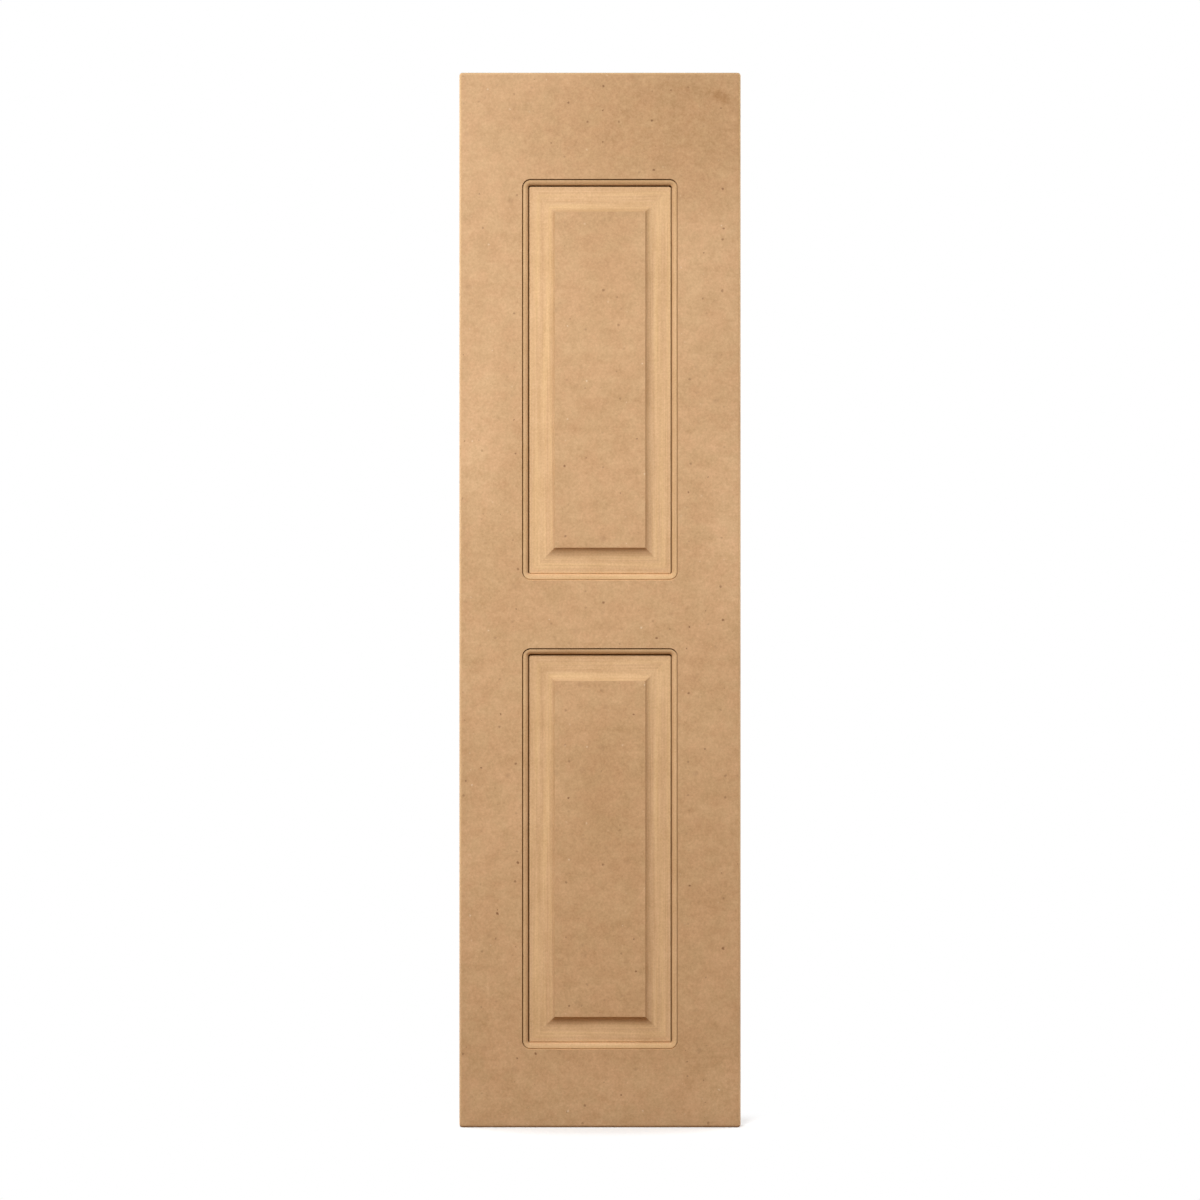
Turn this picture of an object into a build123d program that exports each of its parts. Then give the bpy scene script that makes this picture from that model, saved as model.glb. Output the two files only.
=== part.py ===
from build123d import *
import os

# A raised panel shutter leaf, routed out of one fibreboard. Millimetres, +Z up, front towards -Y.
# The origin is the middle of the flat back, so the leaf lies from Y = -board_thickness to Y = 0.

# The board that the leaf is routed from
board_width = 406.4
board_height = 1524.0
board_thickness = 25.4
edge_round = 4.0

# The flat face left round and between the panels
stile_width = 90.7
top_rail_height = 154.0
middle_rail_height = 98.3
bottom_rail_height = 112.8
panel_count = 2

# The bead that one router bit leaves round each recess, with a quirk beside it and a groove at its foot
quirk_width = 1.5
quirk_depth = 2.4
bead_drop = 1.2
bead_width = 7.2
bead_height = 5.2
foot_groove_width = 1.5
foot_groove_depth = 1.2
bit_tip_radius = 2.0

# The routed ground inside the bead and the raised field in the middle of it
ground_depth = 8.8
field_margin = 47.0
raise_width = 15.7

# Sizes and places that follow from those above
out_of_face = Vector(0, -1, 0)
front = -board_thickness
ground = front + ground_depth
bead_reach = quirk_width + bead_width
foot_groove_reach = bead_reach + foot_groove_width
recess_corner_radius = bit_tip_radius + foot_groove_reach
panel_width = board_width - 2 * stile_width
rails_height = top_rail_height + bottom_rail_height + (panel_count - 1) * middle_rail_height
panel_height = (board_height - rails_height) / panel_count
panel_pitch = panel_height + middle_rail_height
top_panel_centre = board_height / 2 - top_rail_height - panel_height / 2


def looking_at_front(depth):
    """The upright plane at a Y depth, seen from the front: its own x is +X and its own y is +Z."""
    return Plane(origin=(0, depth, 0), x_dir=(1, 0, 0), z_dir=out_of_face)


def board_blank():
    """The whole board, with its four corners and its front arrises rounded over."""
    blank = extrude(looking_at_front(0) * Rectangle(board_width, board_height), board_thickness)
    blank = fillet(blank.edges().filter_by(Axis.Y), edge_round)
    return fillet(blank.faces().sort_by(Axis.Y)[0].edges(), edge_round)


def recess_outline():
    """The recess as it shows on the face: a rectangle with the corners that the router bit turns."""
    return RectangleRounded(panel_width, panel_height, recess_corner_radius)


def recess_block():
    """Everything between the routed ground and the face inside the recess outline."""
    return extrude(looking_at_front(ground) * recess_outline(), ground_depth)


def carried_round(profile):
    """A section carried round the recess outline, its x into the recess and its y out of the face."""
    outline = (looking_at_front(front) * recess_outline()).face().outer_wire()
    along = outline % 0
    section = Plane(origin=outline @ 0, x_dir=out_of_face.cross(along), z_dir=along)
    return sweep(section * make_face(profile), path=outline)


def bead():
    """The bead left standing: a narrow quirk beside the face, then a round shoulder and an upright foot."""
    crest = (quirk_width, -bead_drop)
    shoulder_end = (bead_reach, -bead_drop - bead_height)
    return carried_round([
        Polyline((0, -ground_depth), (0, -quirk_depth), (quirk_width, -quirk_depth), crest),
        TangentArc(crest, shoulder_end, tangent=(1, 0)),
        Polyline(shoulder_end, (bead_reach, -ground_depth), (0, -ground_depth)),
    ])


def foot_groove():
    """The narrow groove that the tip of the bit sinks into the ground at the foot of the bead."""
    bottom = -ground_depth - foot_groove_depth
    return carried_round(Polyline(
        (bead_reach, -ground_depth), (bead_reach, bottom), (foot_groove_reach, bottom),
        (foot_groove_reach, -ground_depth), close=True))


def raised_bar(top_width, length):
    """An upright bar whose coved sides rise from the routed ground to a flat top at the face."""
    foot = (top_width / 2 + raise_width, 0)
    top = (top_width / 2, ground_depth)
    cove = TangentArc(foot, top, tangent=(-1, 0))
    profile = [
        cove,
        mirror(cove, about=Plane.YZ),
        Line((-foot[0], 0), foot),
        Line((-top[0], ground_depth), top),
    ]
    section = Plane(origin=(0, ground, 0), x_dir=(1, 0, 0), z_dir=(0, 0, -1))
    return extrude(section * make_face(profile), length / 2, both=True)


def raised_field():
    """The field: two coved bars that cross, so that the coves meet in mitres at the corners."""
    field_width = panel_width - 2 * field_margin
    field_height = panel_height - 2 * field_margin
    upright = raised_bar(field_width, panel_height)
    level = Rot(Y=90) * raised_bar(field_height, panel_width)
    return upright & level


def recess():
    """What the router takes away for one panel, about that panel's centre."""
    return recess_block() - bead() - raised_field() + foot_groove()


def shutter_leaf():
    """The board with its panels routed in, from the top one down."""
    leaf = board_blank()
    for row in range(panel_count):
        leaf -= Pos(0, 0, top_panel_centre - row * panel_pitch) * recess()
    return leaf


os.makedirs("parts", exist_ok=True)
export_step(shutter_leaf(), "parts/shutter_leaf.step")
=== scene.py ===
"""A raised panel shutter leaf, routed out of one raw fibreboard, in a plain pale studio.

The leaf keeps the frame's axes: +Z is up, the front faces -Y, and the origin is the middle of the flat
back. Sizes are in metres. A section is drawn as inset, inwards from an outline, and depth, into the board.
"""
from typing import NamedTuple

import bmesh
import bpy
import numpy as np
from bpy.props import FloatProperty, FloatVectorProperty, IntProperty, PointerProperty
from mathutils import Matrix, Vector


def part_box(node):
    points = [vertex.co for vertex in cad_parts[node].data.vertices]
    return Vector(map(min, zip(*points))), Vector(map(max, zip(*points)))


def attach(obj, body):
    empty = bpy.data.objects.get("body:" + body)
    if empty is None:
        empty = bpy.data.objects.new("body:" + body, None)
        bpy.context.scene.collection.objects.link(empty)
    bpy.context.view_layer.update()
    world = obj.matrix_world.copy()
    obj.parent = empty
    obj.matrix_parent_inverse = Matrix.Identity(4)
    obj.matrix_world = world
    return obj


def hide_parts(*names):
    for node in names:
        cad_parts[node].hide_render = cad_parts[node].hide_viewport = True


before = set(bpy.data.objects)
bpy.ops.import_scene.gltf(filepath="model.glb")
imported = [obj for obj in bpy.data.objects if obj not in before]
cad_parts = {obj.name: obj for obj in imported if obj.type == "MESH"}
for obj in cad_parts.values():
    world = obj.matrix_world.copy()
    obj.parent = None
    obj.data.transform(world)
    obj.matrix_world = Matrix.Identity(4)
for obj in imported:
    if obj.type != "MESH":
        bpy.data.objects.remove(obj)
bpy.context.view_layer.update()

bl_info = {
    "name": "Raised Panel Shutter Leaf",
    "version": (1, 0, 0),
    "blender": (4, 5, 0),
    "location": "3D View > Sidebar > Shutter",
    "description": "Builds a routed fibreboard shutter leaf and the pale studio round it",
    "category": "Object",
}

MM = 0.001
LEAF_NODE = "shutter_leaf"
LEAF_BODY = "root"
LEAF_SLOT = "raw_fibreboard"
PATH_MAP = "cutter_path"
LIGHT_SHADE_AND_TEAR = "light_shade_and_tear"

BOARD_LOW, BOARD_HIGH = (np.array(corner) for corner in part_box(LEAF_NODE))
FRONT = float(BOARD_LOW[1])
THICKNESS = float(BOARD_HIGH[1] - BOARD_LOW[1])
HALF_BOARD = (BOARD_HIGH - BOARD_LOW)[[0, 2]] / 2

# How the photograph shows light and shade on the right, left, top and bottom sides of a recess, painted
# into
# the colour: shares of the darkest painted shade, or of the palest painted light where negative. The
# grooves are shaded on the sides that face away from the lamp, and not on the bottom, which faces it.
QUIRK_SIDES = (0.5, 1.0, 0.95, 0.0)
FOOT_SIDES = (0.85, 1.0, 0.92, 0.0)
COVE_SIDES = (-0.3, 0.0, 0.08, 0.10)

# How the surface is divided where no setting says it
GROUND_POINTS = 5
EDGE_ROUND_POINTS = 9
SAWN_POINTS = 6
EASE_STEPS = 3
# From the recess outwards to the outline of its share of the face
FACE_BLENDS = (0, 0.06, 0.25, 0.5, 0.75, 0.985, 1)
# Rings inside the edge of the field: how far in each lies, and how much rounder its corners are
FIELD_INSETS = np.array([0, 4, 10, 18]) * MM
FIELD_ROUNDING = np.array([0, 2, 5, 9]) * MM

# A corner whose sides keep this much of one direction, a cosine, is part of a curve
CURVE_COSINE = 0.94
# The most that easing a corner takes of a side
EASE_SHARE = 0.45
# How far the painted shade reaches past a groove, and the depth by which the torn fibre at an edge is
# palest
SHADE_MARGIN = 0.2 * MM
TORN_DEPTH = 1 * MM
TOLERANCE = 0.01 * MM
MERGE_DISTANCE = 0.002 * MM

CORNER_SIGNS = np.array([(1, 1), (-1, 1), (-1, -1), (1, -1)], float)
TOP_RIGHT, TOP_LEFT, BOTTOM_LEFT, BOTTOM_RIGHT = range(4)


def length(name, description, millimetres):
    """A length setting, given in millimetres and kept in metres."""
    return FloatProperty(
        name=name, description=description, default=millimetres * MM, min=0, unit="LENGTH")


def whole_number(name, description, default):
    """A setting that counts things, from one."""
    return IntProperty(name=name, description=description, default=default, min=1)


def tint(name, description, default):
    """A colour setting, as linear red, green and blue."""
    return FloatVectorProperty(
        name=name, description=description, default=default, subtype="COLOR", min=0, max=1)


def position(name, description, default):
    """A place setting, in metres."""
    return FloatVectorProperty(
        name=name, description=description, default=default, subtype="XYZ", unit="LENGTH")


def portion(name, description, default):
    """A setting from nought to one."""
    return FloatProperty(
        name=name, description=description, default=default, subtype="FACTOR", min=0, max=1)


class LeafSizes(bpy.types.PropertyGroup):
    """The sizes of the routed leaf and how finely its surface is divided."""

    stile_width: length("Stile width", "Flat face between a side of the board and a recess", 90.7)
    top_rail: length("Top rail", "Flat face above the top recess", 154.0)
    middle_rail: length("Middle rail", "Flat face between two recesses", 98.3)
    bottom_rail: length("Bottom rail", "Flat face below the last recess", 112.8)
    panel_count: whole_number("Panels", "Recesses, one above the other", 2)
    edge_round: length("Edge round", "Radius on the front arrises of the board", 4.0)
    corner_ease: length("Corner ease", "Extra radius where two rounded arrises meet", 0.4)
    back_ease: length("Back ease", "How far the back arrises are sanded off", 0.7)
    quirk_width: length("Quirk width", "Width of the narrow groove beside the bead", 1.5)
    quirk_depth: length("Quirk depth", "Depth of the narrow groove beside the bead", 2.4)
    bead_drop: length("Bead drop", "From the face down to the crest of the bead", 1.2)
    bead_width: length("Bead width", "Width of the bead's round", 7.2)
    bead_height: length("Bead height", "Height of the bead's round", 5.2)
    foot_groove_width: length("Foot groove width", "Width of the groove at the bead's foot", 1.5)
    foot_groove_depth: length("Foot groove depth", "Depth of that groove below the ground", 1.2)
    bit_tip_radius: length("Bit tip radius", "Corner radius that the router bit leaves at that groove", 2.0)
    ground_depth: length("Ground depth", "From the face down to the routed ground", 8.8)
    field_margin: length("Field margin", "From the recess outline to the edge of the raised field", 47.0)
    raise_width: length("Raise width", "Width of the cove that rises from the ground to the field", 15.7)
    arris_ease: length("Arris ease", "How far the routed arrises are sanded off", 0.35)
    mitre_ease: length("Mitre ease", "Radius on the mitres of the raise", 0.5)
    corner_steps: whole_number("Corner steps", "Faces round a corner, an even number", 12)
    across_steps: whole_number("Steps across", "Faces along a panel's top or bottom", 18)
    up_steps: whole_number("Steps up", "Faces along a panel's side", 46)
    curve_steps: whole_number("Curve steps", "Faces across a bead or a cove", 18)


class BoardFinish(bpy.types.PropertyGroup):
    """The look of raw fibreboard: a pressed skin over a paler, coarser core."""

    skin_colour: tint("Skin", "Pressed face of the board", (0.590, 0.362, 0.185))
    core_colour: tint("Core", "Routed and sawn surfaces", (0.682, 0.437, 0.238))
    # Painted shade: the dark colour laid into the quirk and the groove at the bead's foot where shade
    # falls.
    painted_shade_colour: tint("Burnish", "Fibre that the cutter has heated", (0.125, 0.054, 0.012))
    speck_colour: tint("Specks", "Flecks of bark in the skin", (0.210, 0.092, 0.034))
    fleck_colour: tint("Pale flecks", "Loose pale fibres in the skin", (0.80, 0.62, 0.42))
    skin_depth: length("Skin depth", "Thickness of the pressed skin", 0.35)
    skin_roughness: portion("Skin roughness", "Roughness of the pressed face", 0.62)
    core_roughness: portion("Core roughness", "Roughness of routed and sawn fibres", 0.88)
    mottling: FloatProperty(
        name="Mottling", description="Strength of the cloudy marks in the skin", default=1.1, min=0, max=3)
    # How strong the painted shade in the quirk and the groove at the bead's foot is.
    painted_shade_strength: portion("Burnishing", "How dark the quirk and the groove at the bead's foot are", 0.95)
    # Also how much paler the painted light makes the right-hand cove.
    torn_and_lit_paleness: portion("Edge paleness", "How much paler the torn fibre at the board's edges is", 0.15)
    streaking: FloatProperty(
        name="Streaking", description="Strength of the marks that the cutter leaves along its path",
        default=1.3, min=0, max=3)
    relief: length("Relief", "Height of the skin's fine unevenness", 0.05)


class StudioSetup(bpy.types.PropertyGroup):
    """The camera, the light and the floor."""

    frame_height: FloatProperty(
        name="Frame height", description="Height that the picture takes in at the leaf's front",
        default=1.733, min=0.1, unit="LENGTH")
    camera_distance: FloatProperty(
        name="Camera distance", description="From the leaf's front to the camera",
        default=5.0, min=0.5, unit="LENGTH")
    key_power: FloatProperty(
        name="Key power", description="Power of the soft lamp up to the left",
        default=34.5, min=0, subtype="POWER")
    key_size: FloatProperty(
        name="Key size", description="Side of the soft lamp", default=0.8, min=0.01, unit="LENGTH")
    key_spread: FloatProperty(
        name="Key spread", description="Angle of the lamp's cone of light",
        default=2.29, min=0.1, max=np.pi, subtype="ANGLE")
    key_place: position("Key place", "Where the soft lamp hangs", (-0.5, -2.0, 1.4))
    key_target: position("Key target", "Where the soft lamp points", (0, 0, -0.9))
    side_power: FloatProperty(
        name="Side power", description="Power of each of the two broad lamps on the back and the edges",
        default=55.0, min=0, subtype="POWER")
    side_size: FloatProperty(
        name="Side size", description="Side of each broad lamp", default=1.5, min=0.01, unit="LENGTH")
    side_place: position(
        "Side place", "Where the broad lamp on the right hangs; the other mirrors it", (2.4, 1.0, 0.9))
    sky_strength: FloatProperty(
        name="Sky strength", description="Even light from all round", default=0.20, min=0, max=2)
    floor_colour: tint("Floor", "Colour of the floor", (0.95, 0.95, 0.95))
    floor_bounce: tint(
        "Floor bounce", "Colour that the floor throws back onto the leaf", (0.20, 0.11, 0.05))
    floor_reach: FloatProperty(
        name="Floor reach", description="Distance at which the floor has faded into the white background",
        default=0.12, min=0.01, unit="LENGTH")


class RingLayout(NamedTuple):
    """How the points of a ring stand: the signs of each point's corner, and its turn from there."""

    signs: np.ndarray
    turns: np.ndarray
    middles: list


class Patch(NamedTuple):
    """A grid of points, rows by columns by three, with two numbers each for their place on the cutter's
    path, and one for painted shade and torn fibre: up to 1 where the painted shade is darkest, down to -1
    where paler: torn fibre at the board's edges, and painted light on the right-hand cove."""

    points: np.ndarray
    path: np.ndarray
    light_shade_and_tear: np.ndarray


def ring_layout(corner_steps, across_steps, up_steps):
    """Lays out a ring that runs anticlockwise, as seen from the front, from the top right corner.

    On a corner the signs stay and the turn sweeps a quarter circle. On a side the turn stays and the signs
    slide in a straight line from one corner to the next.
    """
    signs, turns, middles = [], [], []
    count = 0
    for corner, side_steps in enumerate((across_steps, up_steps, across_steps, up_steps)):
        here, following = CORNER_SIGNS[corner], CORNER_SIGNS[(corner + 1) % 4]
        angle = (corner + np.linspace(0, 1, corner_steps + 1)) * np.pi / 2
        sweep = np.stack([np.cos(angle), np.sin(angle)], axis=1)
        slide = np.linspace(0, 1, side_steps + 1)[1:-1, None]
        signs += [np.tile(here, (corner_steps + 1, 1)), here * (1 - slide) + following * slide]
        turns += [sweep, np.tile(sweep[-1], (side_steps - 1, 1))]
        middles.append(count + corner_steps // 2)
        count += corner_steps + side_steps
    return RingLayout(np.concatenate(signs), np.concatenate(turns), middles)


def rings(layout, half_size, inset, radius):
    """One ring for each inset and radius: the corner's centre by its signs, plus the radius on the turn."""
    reach = half_size - (inset + radius)[:, None]
    return layout.signs * reach[:, None] + layout.turns * radius[:, None, None]


def span(points, first, last):
    """The points of a ring from one index anticlockwise to another, both ends counted."""
    count = points.shape[-2]
    return np.take(points, (first + np.arange((last - first) % count + 1)) % count, axis=-2)


def sanded(line, ease):
    """A section with its corners rounded off, each by the parabola that touches both of its sides.

    A bend of less than about twenty degrees is part of a curve and stays.
    """
    rounded = [line[:1]]
    for before, corner, after in zip(line, line[1:], line[2:]):
        arrive, leave = corner - before, after - corner
        lengths = np.linalg.norm([arrive, leave], axis=1)
        if arrive @ leave > CURVE_COSINE * lengths.prod():
            rounded.append(corner[None])
            continue
        reach = np.minimum(ease, EASE_SHARE * lengths) / lengths
        start, end = corner - arrive * reach[0], corner + leave * reach[1]
        t = np.linspace(0, 1, EASE_STEPS + 1)[:, None]
        rounded.append(start * (1 - t) ** 2 + corner * 2 * t * (1 - t) + end * t ** 2)
    return np.concatenate(rounded + [line[-1:]])


def level_arc(start, end, steps):
    """The arc that leaves its start level and ends at the end, as inset and depth.

    Such an arc of width w and height h turns by twice the arctangent of h over w, and its radius is w over
    the sine of that turn.
    """
    width, height = end[0] - start[0], end[1] - start[1]
    turn = 2 * np.arctan2(abs(height), width)
    radius = width / np.sin(turn)
    angle = np.linspace(0, turn, steps + 1)
    rise = np.sign(height) * radius * (1 - np.cos(angle))
    return np.stack([start[0] + radius * np.sin(angle), start[1] + rise], axis=1)


def bead_reach(sizes):
    """From the recess outline to the foot of the bead."""
    return sizes.quirk_width + sizes.bead_width


def groove_reach(sizes):
    """From the recess outline to the far side of the groove at the bead's foot."""
    return bead_reach(sizes) + sizes.foot_groove_width


def cove_foot(sizes):
    """From the recess outline to where the cove starts to rise."""
    return sizes.field_margin - sizes.raise_width


def moulding_section(sizes):
    """The section of a recess: face, quirk, bead, foot groove, ground, cove and field."""
    # A short level run before the first corner and after the last leaves both room to be eased.
    hold = 2 * sizes.arris_ease
    foot, groove_end, rise = bead_reach(sizes), groove_reach(sizes), cove_foot(sizes)
    groove_bottom = sizes.ground_depth + sizes.foot_groove_depth
    flat = np.linspace(groove_end + hold, rise - hold, GROUND_POINTS)
    line = np.concatenate([
        [(-hold, 0), (0, 0), (0, sizes.quirk_depth), (sizes.quirk_width, sizes.quirk_depth)],
        level_arc((sizes.quirk_width, sizes.bead_drop), (foot, sizes.bead_drop + sizes.bead_height),
                  sizes.curve_steps),
        [(foot, groove_bottom), (groove_end, groove_bottom), (groove_end, sizes.ground_depth)],
        np.stack([flat, np.full_like(flat, sizes.ground_depth)], axis=1),
        level_arc((rise, sizes.ground_depth), (sizes.field_margin, 0), sizes.curve_steps),
        [(sizes.field_margin + hold, 0)],
    ])
    return sanded(line, sizes.arris_ease)


def by_side(outwards, sides):
    """A share for each side of a recess, blended round its corners by the squares of the way out."""
    right, left, top, bottom = sides
    across, up = outwards[:, 0], outwards[:, 1]
    return np.where(across > 0, right, left) * across ** 2 + np.where(up > 0, top, bottom) * up ** 2


def painted_light_and_shade(sizes, section, outwards):
    """The painted light and shade over a recess, for each point of its section at each way outwards round
    it.

    The painted shade is strong in the quirk and in the groove at the bead's foot, and faint on the cove,
    whose right-hand side is painted paler instead.
    """
    inset, depth = section.T
    margin = SHADE_MARGIN
    quirk = (inset > -TOLERANCE) & (inset < sizes.quirk_width + margin) & (depth > 2 * margin)
    foot = (inset > bead_reach(sizes) - margin) & (inset < groove_reach(sizes) + margin)
    cove = inset > cove_foot(sizes)
    parts = (quirk, QUIRK_SIDES), (foot, FOOT_SIDES), (cove, COVE_SIDES)
    return sum(part[:, None] * by_side(outwards, sides) for part, sides in parts)


def travelled(points):
    """The length gone along a line up to each of its points, from nought."""
    steps = np.linalg.norm(np.diff(points, axis=0), axis=1)
    return np.concatenate([[0], np.cumsum(steps)])


def on_path(along, section):
    """The cutter's path over a grid: the length along it, and the length gone across the section."""
    return np.stack(np.broadcast_arrays(along[None, :], travelled(section)[:, None]), axis=-1)


def upright(plan, depth):
    """Plan points, x and z, set into the leaf's frame at a depth below the face."""
    depth = np.broadcast_to(depth, plan.shape[:-1])
    return np.stack([plan[..., 0], FRONT + depth, plan[..., 1]], axis=-1)


def closed(ring_points):
    """Rings with their first point repeated at the end, so that their grid closes."""
    return np.concatenate([ring_points, ring_points[..., :1, :]], axis=-2)


def fill(bottom, top, left, right):
    """The surface between four edges: both straight blends added up, less the blend of the four corners."""
    across = np.linspace(0, 1, len(bottom))[None, :, None]
    up = np.linspace(0, 1, len(left))[:, None, None]
    between_sides = left[:, None] * (1 - across) + right[:, None] * across
    between_ends = bottom[None] * (1 - up) + top[None] * up
    corners = ((bottom[0] * (1 - across) + bottom[-1] * across) * (1 - up)
               + (top[0] * (1 - across) + top[-1] * across) * up)
    return between_sides + between_ends - corners


def fill_ring(points, middles):
    """Fills a ring, parted at the middles of its four corners."""
    return fill(
        bottom=span(points, middles[BOTTOM_LEFT], middles[BOTTOM_RIGHT]),
        top=span(points, middles[TOP_RIGHT], middles[TOP_LEFT])[::-1],
        left=span(points, middles[TOP_LEFT], middles[BOTTOM_LEFT])[::-1],
        right=span(points, middles[BOTTOM_RIGHT], middles[TOP_RIGHT]))


def flat_patch(plan, depth):
    """A level patch of the face, the field or the back, whose path is its own plan."""
    return Patch(upright(plan, depth), plan, np.zeros(plan.shape[:2]))


def recess_patches(sizes, layout, centre, half_panel):
    """The mouldings of one recess carried round its outline as rings, and the raised field inside them."""
    section = moulding_section(sizes)
    inset, depth = section.T
    tip, reach = sizes.bit_tip_radius, groove_reach(sizes)
    # The router turns the bead's corners, and the cove meets in mitres, so the radius shrinks on the way.
    radius = np.interp(inset, [inset[0], reach, cove_foot(sizes)],
                       [tip + reach - inset[0], tip, sizes.mitre_ease])
    ring_plans = rings(layout, half_panel, inset, radius)
    path = on_path(travelled(closed(ring_plans[0])), section)
    light_shade_and_tear = painted_light_and_shade(sizes, section, closed(layout.turns))
    moulding = Patch(upright(closed(ring_plans) + centre, depth[:, None]), path, light_shade_and_tear)
    field_rings = rings(layout, half_panel, inset[-1] + FIELD_INSETS, sizes.mitre_ease + FIELD_ROUNDING)
    field_rings = field_rings + centre
    middle = fill_ring(field_rings[-1], layout.middles)
    return [moulding, flat_patch(closed(field_rings), 0), flat_patch(middle, 0)]


def straight(start, end, steps):
    """Points in even steps from a start to an end."""
    slide = np.linspace(0, 1, steps + 1)[:, None]
    return start * (1 - slide) + end * slide


def cell_ring(sizes, layout, centre, half_panel, half_face, low, high, rounded):
    """The outline of one panel's share of the face, point for point with the panel's ring.

    The share is as wide as the board's flat face and reaches from low to high. Rounded says, corner by
    corner, whether it lies on a corner of the board, where it is a small arc. Any other corner is square:
    its points come along one side and leave along the next, opposite the centres of the recess's arcs.
    """
    half_steps = sizes.corner_steps // 2
    points = np.empty_like(layout.signs)
    arc_centres = half_panel - sizes.bit_tip_radius - groove_reach(sizes)
    for corner, (signs, middle) in enumerate(zip(CORNER_SIGNS, layout.middles)):
        here = slice(middle - half_steps, middle + half_steps + 1)
        square = np.array([signs[0] * half_face[0], high if signs[1] > 0 else low])
        if rounded[corner]:
            points[here] = square + sizes.corner_ease * (layout.turns[here] - signs)
            continue
        inner = signs * arc_centres + centre
        ends = [np.array([square[0], inner[1]]), np.array([inner[0], square[1]])]
        # Anticlockwise, the ring comes up or down a side to the first and third corners, top right and
        # bottom left, and along the top or the bottom to the other two.
        arrive, leave = ends[::-1] if corner % 2 else ends
        points[here] = np.concatenate([straight(arrive, square, half_steps),
                                       straight(square, leave, half_steps)[1:]])
    count = len(points)
    for corner, middle in enumerate(layout.middles):
        start, stop = middle + half_steps, layout.middles[(corner + 1) % 4] - half_steps
        between = (start + np.arange((stop - start) % count + 1)) % count
        points[between] = straight(points[between[0]], points[between[-1]], len(between) - 1)
    return points


def face_patch(outline_ring, outer_ring):
    """The flat face between a recess and the outline of its share of the face, a blend of the two rings."""
    blend = np.array(FACE_BLENDS)[:, None, None]
    return flat_patch(closed(outline_ring * (1 - blend) + outer_ring * blend), 0)


def edge_section(sizes):
    """The section over the board's edge, as outset and depth: quarter round, sawn edge and eased back."""
    reach = sizes.edge_round
    angle = np.linspace(0, np.pi / 2, EDGE_ROUND_POINTS)
    front_round = np.stack([np.sin(angle), 1 - np.cos(angle)], axis=1) * reach
    depths = np.linspace(reach, THICKNESS - 2 * sizes.back_ease, SAWN_POINTS)[1:]
    sawn = np.stack([np.full_like(depths, reach), depths], axis=1)
    back = [(reach, THICKNESS), (reach - 2 * sizes.back_ease, THICKNESS)]
    return sanded(np.concatenate([front_round, sawn, back]), sizes.back_ease)


def edge_patch(section, base, turns, along):
    """The edge section carried along one side of the board, each point outwards along its own turn."""
    outset, depth = section.T
    plan = base[None] + turns[None] * outset[:, None, None]
    torn = np.broadcast_to(-np.clip(depth / TORN_DEPTH, 0, 1)[:, None], plan.shape[:2])
    return Patch(upright(plan, depth[:, None]), on_path(along, section), torn)


def board_turns(base, half_face, radius):
    """The way out of the board at points of its face's outline: away from the nearest point of the
    rectangle between the centres of its corners."""
    inner = half_face - radius
    away = base - np.clip(base, -inner, inner)
    return away / np.linalg.norm(away, axis=1, keepdims=True)


def leaf_patches(sizes):
    """Every patch of the leaf: recesses, face, edges and back."""
    layout = ring_layout(sizes.corner_steps, sizes.across_steps, sizes.up_steps)
    rails = sizes.top_rail + sizes.bottom_rail + (sizes.panel_count - 1) * sizes.middle_rail
    half_panel = np.array([HALF_BOARD[0] - sizes.stile_width,
                           (HALF_BOARD[1] - rails / 2) / sizes.panel_count])
    half_face = HALF_BOARD - sizes.edge_round
    pitch = 2 * half_panel[1] + sizes.middle_rail
    section = edge_section(sizes)
    middles = layout.middles
    patches = []
    edges = {"left": [], "right": []}
    for row in range(sizes.panel_count):
        centre = np.array([0, HALF_BOARD[1] - sizes.top_rail - half_panel[1] - row * pitch])
        first, last = row == 0, row == sizes.panel_count - 1
        high = half_face[1] if first else centre[1] + pitch / 2
        low = -half_face[1] if last else centre[1] - pitch / 2
        rounded = (first, first, last, last)
        outer = cell_ring(sizes, layout, centre, half_panel, half_face, low, high, rounded)
        recess = recess_patches(sizes, layout, centre, half_panel)
        outline = recess[0].points[0, :-1][:, [0, 2]]
        patches += recess + [face_patch(outline, outer)]
        # Each side of the board is the part of the ring between the middles of two corners.
        sides = {"left": (TOP_LEFT, BOTTOM_LEFT), "right": (BOTTOM_RIGHT, TOP_RIGHT)}
        if first:
            sides["top"] = (TOP_RIGHT, TOP_LEFT)
        if last:
            sides["bottom"] = (BOTTOM_LEFT, BOTTOM_RIGHT)
        for side, (start, stop) in sides.items():
            base = span(outer, middles[start], middles[stop])
            turns = board_turns(base, half_face, sizes.corner_ease)
            upwards = side in ("left", "right")
            along = base[:, 1] if upwards else base[:, 0]
            patch = edge_patch(section, base, turns, along)
            patches.append(patch)
            rim = patch.points[-1][:, [0, 2]]
            if upwards:
                edges[side].append(rim[::-1] if side == "left" else rim)
            else:
                edges[side] = rim[::-1] if side == "top" else rim
    # The rims run upwards, and the lowest panel's come first.
    joined = {side: np.concatenate([edges[side][-1]] + [rim[1:] for rim in edges[side][-2::-1]])
              for side in ("left", "right")}
    back = fill(edges["bottom"], edges["top"], joined["left"], joined["right"])
    patches.append(flat_patch(back, THICKNESS))
    return patches


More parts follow.
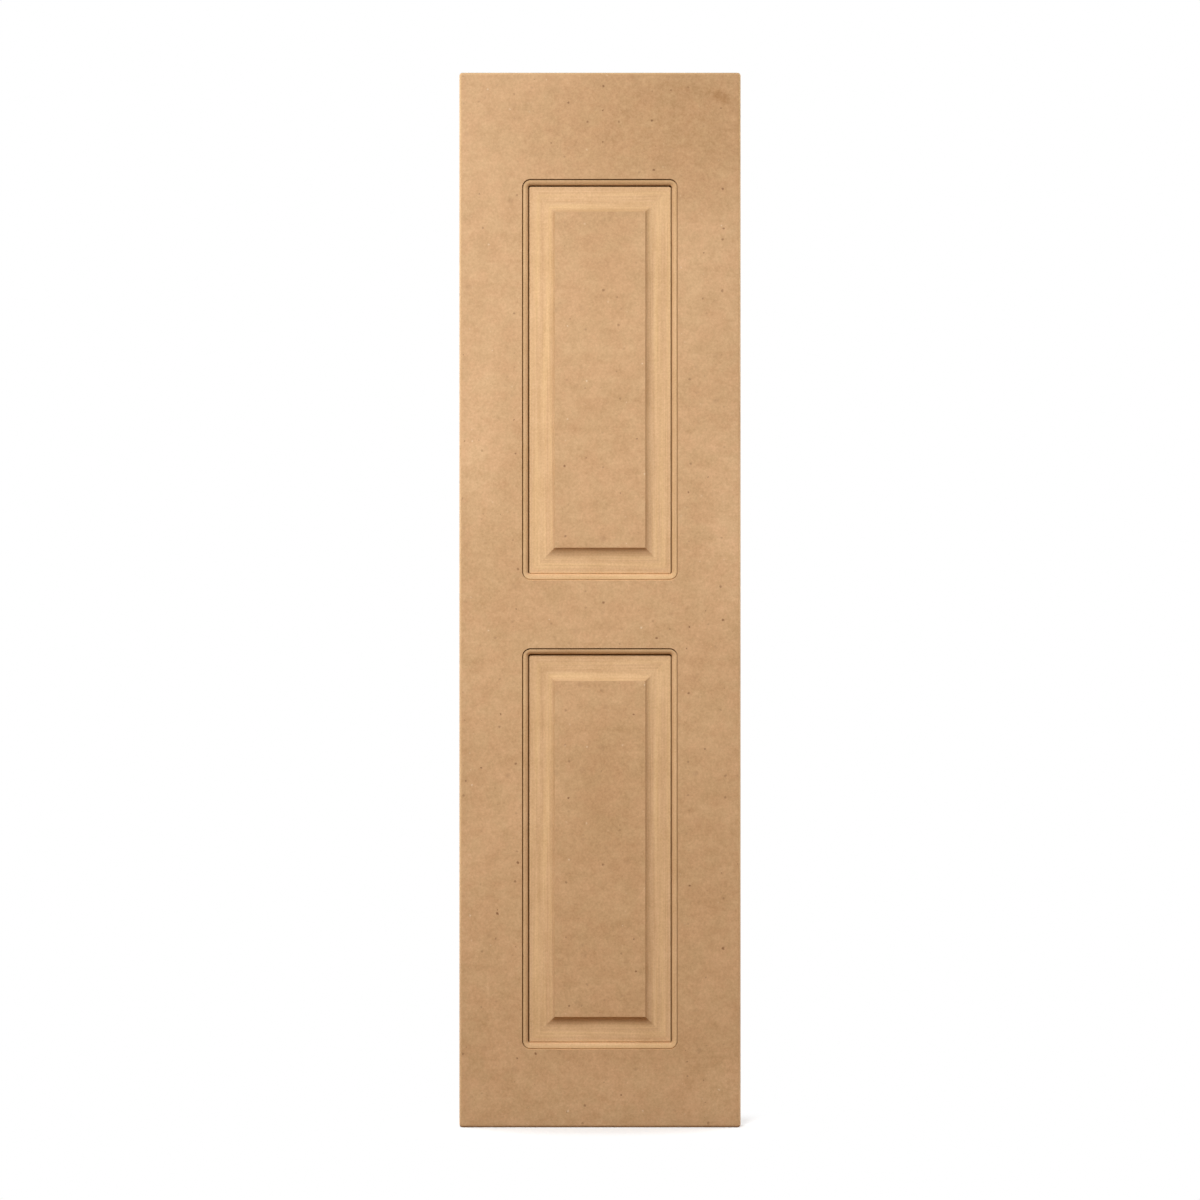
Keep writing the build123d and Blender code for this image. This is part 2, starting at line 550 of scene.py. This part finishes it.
def mesh_from_patches(name, patches):
    """One closed mesh of all the patches: each grid gives its quads, and points that meet are merged."""
    points, path, light_shade_and_tear, quads = [], [], [], []
    offset = 0
    for patch in patches:
        rows, columns = patch.points.shape[:2]
        index = offset + np.arange(rows * columns).reshape(rows, columns)
        corners = [index[:-1, :-1], index[:-1, 1:], index[1:, 1:], index[1:, :-1]]
        quads.append(np.stack(corners, axis=-1).reshape(-1, 4))
        points.append(patch.points.reshape(-1, 3))
        path.append(patch.path.reshape(-1, 2))
        light_shade_and_tear.append(patch.light_shade_and_tear.ravel())
        offset += rows * columns
    points, path, light_shade_and_tear, quads = (np.concatenate(part) for part in (points, path, light_shade_and_tear, quads))
    mesh = bpy.data.meshes.new(name)
    mesh.from_pydata(points, [], quads)
    layer = mesh.uv_layers.new(name=PATH_MAP)
    layer.data.foreach_set("uv", path[quads.ravel()].astype(np.float32).ravel())
    finish = mesh.attributes.new(LIGHT_SHADE_AND_TEAR, "FLOAT", "POINT")
    finish.data.foreach_set("value", light_shade_and_tear.astype(np.float32))
    build = bmesh.new()
    build.from_mesh(mesh)
    bmesh.ops.remove_doubles(build, verts=build.verts, dist=MERGE_DISTANCE)
    bmesh.ops.recalc_face_normals(build, faces=build.faces)
    build.to_mesh(mesh)
    build.free()
    mesh.shade_smooth()
    return mesh


class Cloud(NamedTuple):
    """One noise in the board: its scale, detail and roughness, how its coordinates are stretched and then
    shifted, and how much it moves the brightness (tone) and the height (relief)."""

    scale: float
    detail: float = 3.0
    roughness: float = 0.55
    stretch: tuple = (1, 1, 1)
    shift: tuple = (0, 0, 0)
    tone: float = 0.0
    relief: float = 0.0


class Flecks(NamedTuple):
    """Scattered dots in the skin: seeds on a metre, the largest radius, the share of seeds that carry a
    dot, how strongly a dot covers the skin, and a shift that sets their scatter apart."""

    per_metre: float
    radius: float
    share: float
    cover: float
    shift: tuple


class Mark(NamedTuple):
    """A soft oval mark on the front: its place, half length and half width in millimetres, its tilt in
    degrees, and how much it darkens the board, or brightens it where negative."""

    x: float
    z: float
    half_length: float
    half_width: float
    tilt: float
    strength: float


# In the skin, on Object coordinates
CLOUDS = Cloud(scale=5, detail=2, tone=0.05)
MOTTLE = Cloud(scale=60, detail=4, roughness=0.65, stretch=(0.75, 1, 1), tone=0.11, relief=0.4)
GRAIN = Cloud(scale=330, detail=2, roughness=0.7, tone=0.12, relief=0.25)
LEVEL_BANDS = Cloud(scale=1, stretch=(9, 9, 150), tone=0.02)
HUE = Cloud(scale=38, shift=(5.2, 1.3, 8.8))
# In the core, on the cutter's path
STREAK = Cloud(scale=1, roughness=0.6, stretch=(6, 420, 1), tone=0.09, relief=0.35)
BAND = Cloud(scale=1, detail=2, stretch=(3.5, 110, 1), shift=(4, 9, 0), tone=0.08)
# In the core, on Object coordinates
PATCHES = Cloud(scale=26, detail=4, tone=0.09)
FIBRE = Cloud(scale=380, roughness=0.7, tone=0.13, relief=0.5)
# Over the marks, on Object coordinates
MARK_PATCHES = Cloud(scale=120, tone=0.4)

# How far a hue leans from the skin or the core, as gains on red, green and blue, and between which levels
# of its noise it turns
ROSY = (1.014, 0.993, 0.994)
GREENISH = (0.987, 1.005, 0.996)
GOLDEN = (0.99, 1.0, 0.93)
HUE_TURN = (-0.7, 0.7)
BAND_TURN = (-0.6, 0.8)
# A change of tone moves blue most and red least, so that dark marks look richer.
TONE_GAINS = (0.8, 1.0, 1.33)

BARK_SPECKS = Flecks(per_metre=40, radius=2.9 * MM, share=0.34, cover=0.9, shift=(3.1, 0.4, 0))
BARK_SMUDGES = Flecks(per_metre=30, radius=7 * MM, share=0.35, cover=0.2, shift=(1.7, 5.9, 0))
PALE_FIBRES = Flecks(per_metre=36, radius=2.1 * MM, share=0.3, cover=0.75, shift=(7.3, 2.2, 0))
# Flecks are bent out of round by a fine noise, and the least of them are this small and this faint.
WOBBLE_SCALE = 420.0
WOBBLE_REACH = 3 * MM
SMALLEST_FLECK = 0.3
FAINTEST_FLECK = 0.2
# Where on its radius a fleck or a mark is at full strength
FLECK_HEART = 0.3
MARK_HEART = 0.1

# How much the streaks vary the painted shade in the grooves
UNEVEN_SHADE = 0.12
# The depth at which the skin starts to give way to the core
SKIN_START = 0.02 * MM
# How far a metre of depth moves the flecks on, so that the back has flecks of its own
FLECK_DRIFT = 60.0
# The board is densest and darkest near its faces. On a scale from nought there to one in its middle, this
# level leaves the tone as it is, and a step of one moves it by this much.
DENSE_LEVEL = 0.7
DENSE_TONE = 0.08
# How much the mottling varies the roughness
MOTTLE_ROUGHNESS = 0.03
SPECULAR_LEVEL = 0.3

# Soft patches on the front, as the photograph shows them: the small ones are spots in the board, and the
# broad ones make wide stretches of the face darker or lighter.
MARKS = (
    Mark(172, 728, 32, 13, 22, 0.18),
    Mark(120, 742, 40, 9, 8, 0.06),
    Mark(90, 690, 340, 190, 0, 0.21),
    Mark(0, 500, 80, 170, 0, 0.09),
    Mark(0, -290, 90, 190, 0, 0.08),
    Mark(-175, 210, 50, 190, 0, -0.10),
    Mark(185, 90, 60, 210, 0, -0.10),
    Mark(-185, -420, 35, 180, 0, -0.06),
    Mark(0, -715, 330, 60, 0, -0.07),
    Mark(185, -710, 70, 90, 0, -0.11),
    Mark(128, 243, 9, 5, 0, 0.10),
    Mark(-182, -90, 11, 6, 0, 0.09),
    Mark(-182, -152, 9, 6, 0, 0.08),
    Mark(162, -614, 17, 12, 0, 0.14),
    Mark(-184, -666, 8, 12, 0, 0.08),
    Mark(-90, 295, 5, 7, 0, 0.10),
    Mark(-162, -568, 2.5, 32, 0, -0.10),
)

WHITE = (1, 1, 1, 1)
# The least that the floor takes of the white background, even at the leaf's foot
LEAST_WHITE = 0.35
FLOOR_HALF_WIDTH = 12.0
SENSOR_WIDTH = 36
CLIP_END = 100


def rgba(colour, gains=(1, 1, 1)):
    """A colour property times its gains, as the four numbers of a socket."""
    return (*(part * gain for part, gain in zip(colour, gains)), 1.0)


class Wiring:
    """Adds nodes to one shader tree and links each to what feeds it."""

    def __init__(self, tree):
        self.tree = tree
        tree.nodes.clear()

    def add(self, kind, feeds=(), **settings):
        """A node with its settings, its sockets fed by values or by other sockets."""
        made = self.tree.nodes.new(kind)
        for name, value in settings.items():
            setattr(made, name, value)
        for socket, value in dict(feeds).items():
            if isinstance(value, bpy.types.NodeSocket):
                self.tree.links.new(value, made.inputs[socket])
            else:
                made.inputs[socket].default_value = value
        return made

    def math(self, operation, *values):
        """One step of arithmetic on numbers or sockets."""
        return self.add("ShaderNodeMath", enumerate(values), operation=operation).outputs[0]

    def fade(self, value, start, end):
        """Nought up to the start, one from the end on, and a smooth step between. The start may lie above
        the end."""
        feeds = {"Value": value, "From Min": start, "From Max": end}
        return self.add("ShaderNodeMapRange", feeds, interpolation_type="SMOOTHSTEP").outputs["Result"]

    def stretched(self, vector, scale, shift):
        """Coordinates scaled by so much along each axis, and then shifted."""
        feeds = {"Vector": vector, "Scale": scale, "Location": shift}
        return self.add("ShaderNodeMapping", feeds).outputs["Vector"]

    def noise(self, vector, cloud):
        """Cloudy noise about nought, from roughly minus one to one."""
        feeds = {"Vector": self.stretched(vector, cloud.stretch, cloud.shift), "Scale": cloud.scale,
                 "Detail": cloud.detail, "Roughness": cloud.roughness}
        made = self.add("ShaderNodeTexNoise", feeds)
        centred = self.math("SUBTRACT", made.outputs["Fac"], 0.5)
        return self.math("MULTIPLY", centred, 4.0)

    def mix(self, factor, first, second):
        """Two colours mixed by a factor."""
        return self.add("ShaderNodeMix", {0: factor, 6: first, 7: second}, data_type="RGBA").outputs[2]

    def blend_numbers(self, factor, first, second):
        """Two numbers mixed by a factor."""
        return self.add("ShaderNodeMix", {0: factor, 2: first, 3: second}, data_type="FLOAT").outputs[0]

    def brighten(self, colour, amount):
        """A colour times one plus the amount, by the gains of a change of tone."""
        gain = self.add("ShaderNodeVectorMath", {0: amount, 1: TONE_GAINS, 2: (1, 1, 1)},
                        operation="MULTIPLY_ADD").outputs[0]
        return self.add("ShaderNodeVectorMath", {0: colour, 1: gain}, operation="MULTIPLY").outputs[0]

    def total(self, *parts):
        """The sum of noise sockets, each times its own weight."""
        result = 0.0
        for socket, weight in parts:
            result = self.math("MULTIPLY_ADD", socket, weight, result)
        return result

    def flecks(self, plan, kind, colour, fleck_colour):
        """A colour with flecks over it, round a chosen few of scattered seeds.

        A seed's own random colour says whether it is kept (red), how large its fleck is (green), and how
        strong (blue, squared, so that most are faint).
        """
        wobble = self.add("ShaderNodeTexNoise", {"Vector": plan, "Scale": WOBBLE_SCALE, "Detail": 2.0})
        feeds = {0: wobble.outputs["Color"], 1: (WOBBLE_REACH, WOBBLE_REACH, 0), 2: plan}
        bent = self.add("ShaderNodeVectorMath", feeds, operation="MULTIPLY_ADD").outputs[0]
        feeds = {"Vector": self.stretched(bent, (1, 1, 1), kind.shift), "Scale": kind.per_metre}
        seeds = self.add("ShaderNodeTexVoronoi", feeds, voronoi_dimensions="2D").outputs
        chance = self.add("ShaderNodeSeparateColor", {"Color": seeds["Color"]}).outputs
        kept = self.math("LESS_THAN", chance["Red"], kind.share)
        reach = kind.radius * kind.per_metre
        radius = self.math("MULTIPLY_ADD", chance["Green"], (1 - SMALLEST_FLECK) * reach,
                           SMALLEST_FLECK * reach)
        near = self.fade(self.math("DIVIDE", seeds["Distance"], radius), 1.0, FLECK_HEART)
        squared = self.math("POWER", chance["Blue"], 2.0)
        strength = self.math("MULTIPLY_ADD", squared, 1 - FAINTEST_FLECK, FAINTEST_FLECK)
        shown = self.math("MULTIPLY", self.math("MULTIPLY", kept, near), strength)
        return self.mix(self.math("MULTIPLY", shown, kind.cover), colour, rgba(fleck_colour))

    def oval(self, place, mark):
        """One in the heart of a mark's tilted oval on the front, fading to nought at its rim."""
        feeds = {
            "Vector": place,
            "Location": (mark.x * MM, FRONT, mark.z * MM),
            "Rotation": (0, np.radians(mark.tilt), 0),
            "Scale": (mark.half_length * MM, THICKNESS / 2, mark.half_width * MM),
        }
        inside = self.add("ShaderNodeMapping", feeds, vector_type="TEXTURE").outputs["Vector"]
        distance = self.add("ShaderNodeVectorMath", {0: inside}, operation="LENGTH").outputs["Value"]
        return self.fade(distance, 1.0, MARK_HEART)


def skin_colour(wiring, finish, place, plan):
    """Pressed skin: cloudy tan, now rosier and now greener, with grain, specks of bark and pale fibres."""
    amount = finish.mottling
    clouds, mottle = wiring.noise(place, CLOUDS), wiring.noise(place, MOTTLE)
    grain, bands = wiring.noise(place, GRAIN), wiring.noise(place, LEVEL_BANDS)
    tone = wiring.total((clouds, CLOUDS.tone * amount), (mottle, MOTTLE.tone * amount),
                        (grain, GRAIN.tone * amount), (bands, LEVEL_BANDS.tone * amount))
    turn = wiring.fade(wiring.noise(place, HUE), *HUE_TURN)
    hue = wiring.mix(turn, rgba(finish.skin_colour, ROSY), rgba(finish.skin_colour, GREENISH))
    colour = wiring.brighten(hue, tone)
    for kind, fleck_colour in ((BARK_SMUDGES, finish.speck_colour), (BARK_SPECKS, finish.speck_colour),
                               (PALE_FIBRES, finish.fleck_colour)):
        colour = wiring.flecks(plan, kind, colour, fleck_colour)
    return colour, mottle, grain


def core_colour(wiring, finish, place, path):
    """Routed and sawn fibre: paler and golden, streaked along the cutter's path, with fine loose fibres."""
    streak, band = wiring.noise(path, STREAK), wiring.noise(path, BAND)
    patches, fibre = wiring.noise(place, PATCHES), wiring.noise(place, FIBRE)
    tone = wiring.total((streak, STREAK.tone * finish.streaking), (band, BAND.tone * finish.streaking),
                        (patches, PATCHES.tone), (fibre, FIBRE.tone))
    turn = wiring.fade(band, *BAND_TURN)
    hue = wiring.mix(turn, rgba(finish.core_colour), rgba(finish.core_colour, GOLDEN))
    return wiring.brighten(hue, tone), streak, fibre


def tooled_and_shaded(wiring, finish, core, streak):
    """The core with painted shade in the grooves, painted light on the right cove, and paler torn edges."""
    share = wiring.add("ShaderNodeAttribute", attribute_name=LIGHT_SHADE_AND_TEAR).outputs["Fac"]
    # Negative shares: torn fibre at the board's edges, and painted light on the right-hand cove.
    torn = wiring.math("MAXIMUM", wiring.math("MULTIPLY", share, -1.0), 0.0)
    core = wiring.brighten(core, wiring.math("MULTIPLY", torn, finish.torn_and_lit_paleness))
    # Painted shade in the grooves, a little uneven along the streaks.
    uneven = wiring.math("MULTIPLY_ADD", streak, UNEVEN_SHADE * finish.painted_shade_strength, finish.painted_shade_strength)
    shaded = wiring.math("MINIMUM", wiring.math("MULTIPLY", share, uneven), 1.0)
    return wiring.mix(wiring.math("MAXIMUM", shaded, 0.0), core, rgba(finish.painted_shade_colour))


def marked(wiring, place, colour):
    """The colour with the marks laid over it, each patchy and soft at its rim."""
    patchy = wiring.math("MULTIPLY_ADD", wiring.noise(place, MARK_PATCHES), MARK_PATCHES.tone, 1.0)
    shade = wiring.total(*((wiring.oval(place, mark), -mark.strength) for mark in MARKS))
    return wiring.brighten(colour, wiring.math("MULTIPLY", shade, patchy))


def fibreboard(finish):
    """Raw fibreboard through and through: what the cutter reaches below the pressed skin is paler core."""
    material = bpy.data.materials.new(LEAF_SLOT)
    material.use_nodes = True
    wiring = Wiring(material.node_tree)
    coordinates = wiring.add("ShaderNodeTexCoord")
    place = coordinates.outputs["Object"]
    path = wiring.add("ShaderNodeUVMap", uv_map=PATH_MAP).outputs["UV"]
    along, through, up = wiring.add("ShaderNodeSeparateXYZ", {"Vector": place}).outputs
    drifted = wiring.math("MULTIPLY_ADD", through, FLECK_DRIFT, up)
    plan = wiring.add("ShaderNodeCombineXYZ", {"X": along, "Y": drifted}).outputs["Vector"]
    # One where the surface lies under both of the board's skins
    below_front = wiring.fade(through, FRONT + SKIN_START, FRONT + finish.skin_depth)
    above_back = wiring.fade(through, -SKIN_START, -finish.skin_depth)
    cut = wiring.math("MULTIPLY", below_front, above_back)

    skin, mottle, grain = skin_colour(wiring, finish, place, plan)
    core, streak, fibre = core_colour(wiring, finish, place, path)
    colour = wiring.mix(cut, skin, tooled_and_shaded(wiring, finish, core, streak))
    colour = marked(wiring, place, colour)
    # Half a sine wave from face to face gives the density.
    middle = wiring.math("SINE", wiring.math("MULTIPLY", through, -np.pi / THICKNESS))
    density = wiring.math("MULTIPLY", wiring.math("SUBTRACT", middle, DENSE_LEVEL), DENSE_TONE)
    colour = wiring.brighten(colour, wiring.math("MULTIPLY", density, cut))

    rough = wiring.blend_numbers(cut, finish.skin_roughness, finish.core_roughness)
    rough = wiring.math("ADD", rough, wiring.math("MULTIPLY", mottle, MOTTLE_ROUGHNESS))
    skin_height = wiring.total((mottle, MOTTLE.relief), (grain, GRAIN.relief))
    core_height = wiring.total((streak, STREAK.relief), (fibre, FIBRE.relief))
    height = wiring.blend_numbers(cut, skin_height, core_height)
    bump = wiring.add("ShaderNodeBump", {"Height": height, "Distance": finish.relief, "Strength": 1.0})
    shader = wiring.add("ShaderNodeBsdfPrincipled", {
        "Base Color": colour, "Roughness": rough, "Normal": bump.outputs["Normal"],
        "Specular IOR Level": SPECULAR_LEVEL})
    wiring.add("ShaderNodeOutputMaterial", {"Surface": shader.outputs[0]})
    return material


def seen_ray(wiring):
    """One for a ray that shows the background: from the camera, off a gloss or through glass."""
    rays = wiring.add("ShaderNodeLightPath").outputs
    glossy = wiring.math("MAXIMUM", rays["Is Glossy Ray"], rays["Is Transmission Ray"])
    return wiring.math("MAXIMUM", rays["Is Camera Ray"], glossy)


def white_world(setup):
    """An even sky that is plain white wherever it is seen."""
    world = bpy.data.worlds.new("pale_studio")
    world.use_nodes = True
    wiring = Wiring(world.node_tree)
    strength = wiring.blend_numbers(seen_ray(wiring), setup.sky_strength, 1.0)
    sky = wiring.add("ShaderNodeBackground", {"Color": WHITE, "Strength": strength})
    wiring.add("ShaderNodeOutputWorld", {"Surface": sky.outputs[0]})
    return world


def pale_floor(setup):
    """A matt pale floor that takes the shadow near the leaf and fades into the white background."""
    material = bpy.data.materials.new("pale_floor")
    material.use_nodes = True
    wiring = Wiring(material.node_tree)
    place = wiring.add("ShaderNodeTexCoord").outputs["Object"]
    # The distance from the leaf's footprint: how far a point lies beyond half its size on each axis.
    footprint = (HALF_BOARD[0], THICKNESS / 2, 0)
    beyond = place
    for operation, feeds in (("ABSOLUTE", {}), ("SUBTRACT", {1: footprint}), ("MAXIMUM", {})):
        beyond = wiring.add("ShaderNodeVectorMath", {0: beyond, **feeds}, operation=operation).outputs[0]
    distance = wiring.add("ShaderNodeVectorMath", {0: beyond}, operation="LENGTH").outputs["Value"]
    seen = seen_ray(wiring)
    away = wiring.math("MAXIMUM", wiring.fade(distance, 0.0, setup.floor_reach), LEAST_WHITE)
    away = wiring.math("MULTIPLY", away, seen)
    colour = wiring.mix(seen, rgba(setup.floor_bounce), rgba(setup.floor_colour))
    matt = wiring.add("ShaderNodeBsdfDiffuse", {"Color": colour})
    white = wiring.add("ShaderNodeEmission", {"Color": WHITE, "Strength": 1.0})
    mixed = wiring.add("ShaderNodeMixShader", {0: away, 1: matt.outputs[0], 2: white.outputs[0]})
    wiring.add("ShaderNodeOutputMaterial", {"Surface": mixed.outputs[0]})
    return material


def add_lamp(name, place, target, size, spread, power):
    """A square soft lamp that hangs at a place and points at a target."""
    lamp = bpy.data.lights.new(name, "AREA")
    lamp.shape = "SQUARE"
    lamp.size = size
    lamp.spread = spread
    lamp.energy = power
    holder = bpy.data.objects.new(name, lamp)
    holder.location = place
    holder.rotation_euler = (Vector(target) - Vector(place)).to_track_quat("-Z", "Y").to_euler()
    bpy.context.scene.collection.objects.link(holder)


class SHUTTER_OT_leaf(bpy.types.Operator):
    """Build the routed shutter leaf with its fibreboard finish"""

    bl_idname = "shutter.leaf"
    bl_label = "Leaf"

    def execute(self, context):
        scene = context.scene
        mesh = mesh_from_patches("leaf", leaf_patches(scene.shutter_sizes))
        mesh.materials.append(fibreboard(scene.shutter_finish))
        leaf = bpy.data.objects.new("routed_leaf", mesh)
        scene.collection.objects.link(leaf)
        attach(leaf, LEAF_BODY)
        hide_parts(LEAF_NODE)
        return {"FINISHED"}


class SHUTTER_OT_studio(bpy.types.Operator):
    """Build the floor, the light and the camera"""

    bl_idname = "shutter.studio"
    bl_label = "Studio"

    def execute(self, context):
        scene = context.scene
        setup = scene.shutter_studio
        mesh = bpy.data.meshes.new("floor")
        corners = np.array([(-1, -1), (1, -1), (1, 1), (-1, 1)]) * FLOOR_HALF_WIDTH
        mesh.from_pydata([(x, y, 0) for x, y in corners], [], [(0, 1, 2, 3)])
        mesh.materials.append(pale_floor(setup))
        floor = bpy.data.objects.new("floor", mesh)
        floor.location = (0, FRONT / 2, BOARD_LOW[2])
        scene.collection.objects.link(floor)
        scene.world = white_world(setup)
        add_lamp("key_lamp", setup.key_place, setup.key_target, setup.key_size, setup.key_spread,
                 setup.key_power)
        for name, side in (("left_lamp", -1), ("right_lamp", 1)):
            place = Vector(setup.side_place) * Vector((side, 1, 1))
            add_lamp(name, place, (0, 0, 0), setup.side_size, np.pi, setup.side_power)
        camera = bpy.data.cameras.new("camera")
        camera.sensor_width = SENSOR_WIDTH
        camera.lens = camera.sensor_width * setup.camera_distance / setup.frame_height
        camera.clip_end = CLIP_END
        holder = bpy.data.objects.new("camera", camera)
        holder.location = (0, FRONT - setup.camera_distance, 0)
        holder.rotation_euler = (np.pi / 2, 0, 0)
        scene.collection.objects.link(holder)
        scene.camera = holder
        scene.view_settings.view_transform = "Standard"
        return {"FINISHED"}


class SHUTTER_PT_panel(bpy.types.Panel):
    """Sizes, finish and studio of the shutter leaf"""

    bl_idname = "SHUTTER_PT_panel"
    bl_label = "Shutter"
    bl_space_type = "VIEW_3D"
    bl_region_type = "UI"
    bl_category = "Shutter"

    def draw(self, context):
        scene = context.scene
        for title, group in (("Sizes", scene.shutter_sizes), ("Finish", scene.shutter_finish),
                             ("Studio", scene.shutter_studio)):
            box = self.layout.box()
            box.label(text=title)
            for name in group.__annotations__:
                box.prop(group, name)
        self.layout.operator(SHUTTER_OT_leaf.bl_idname)
        self.layout.operator(SHUTTER_OT_studio.bl_idname)


CLASSES = (LeafSizes, BoardFinish, StudioSetup, SHUTTER_OT_leaf, SHUTTER_OT_studio, SHUTTER_PT_panel)


def register():
    """Adds the classes and the scene's three groups of settings."""
    for cls in CLASSES:
        bpy.utils.register_class(cls)
    bpy.types.Scene.shutter_sizes = PointerProperty(type=LeafSizes)
    bpy.types.Scene.shutter_finish = PointerProperty(type=BoardFinish)
    bpy.types.Scene.shutter_studio = PointerProperty(type=StudioSetup)


def unregister():
    """Takes the settings and the classes away again."""
    del bpy.types.Scene.shutter_studio
    del bpy.types.Scene.shutter_finish
    del bpy.types.Scene.shutter_sizes
    for cls in reversed(CLASSES):
        bpy.utils.unregister_class(cls)


def main():
    """Registers the add-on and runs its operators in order."""
    register()
    bpy.ops.shutter.leaf()
    bpy.ops.shutter.studio()


if __name__ == "__main__":
    main()
